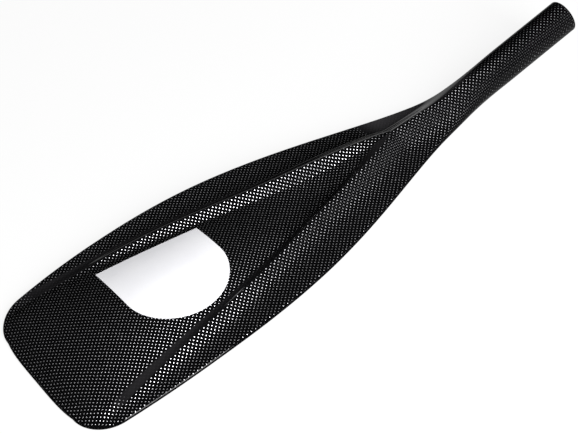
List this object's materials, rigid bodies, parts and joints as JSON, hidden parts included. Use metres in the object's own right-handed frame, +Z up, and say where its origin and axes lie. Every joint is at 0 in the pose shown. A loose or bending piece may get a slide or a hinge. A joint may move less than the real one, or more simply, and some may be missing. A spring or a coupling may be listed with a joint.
{
  "type": "stand-up paddle blade",
  "caption": "Moulded carbon paddle blade with two ridges on its back face that meet in a spine, a hollow round neck set at an angle, and a bare D-shaped label.",
  "frame": {"origin": "centre of the underside of the bounding box: the blade lies on its power face on the floor", "axes": "+X from the blade's tip towards the neck's open end, +Y across the blade to its left edge, +Z up, out of the patterned back face"},
  "size_m": [0.5484, 0.1736, 0.0531],
  "materials": {
    "carbon_back": "clear-coated plain carbon weave",
    "carbon_power": "clear-coated plain carbon weave",
    "laminate": "bare cured carbon laminate",
    "foam": "closed-cell structural foam",
    "label_foil": "satin bare foil"
  },
  "bodies": {
    "root": {"back_skin": "carbon_back", "power_skin": "carbon_power", "rim_band": "laminate", "ridge_spar_left": "laminate", "ridge_spar_right": "laminate", "spine_spar": "laminate", "foam_centre": "foam", "foam_flank_left": "foam", "foam_flank_right": "foam", "neck_plug": "foam", "neck_sleeve": "laminate", "label": "label_foil"}
  },
  "joints": []
}
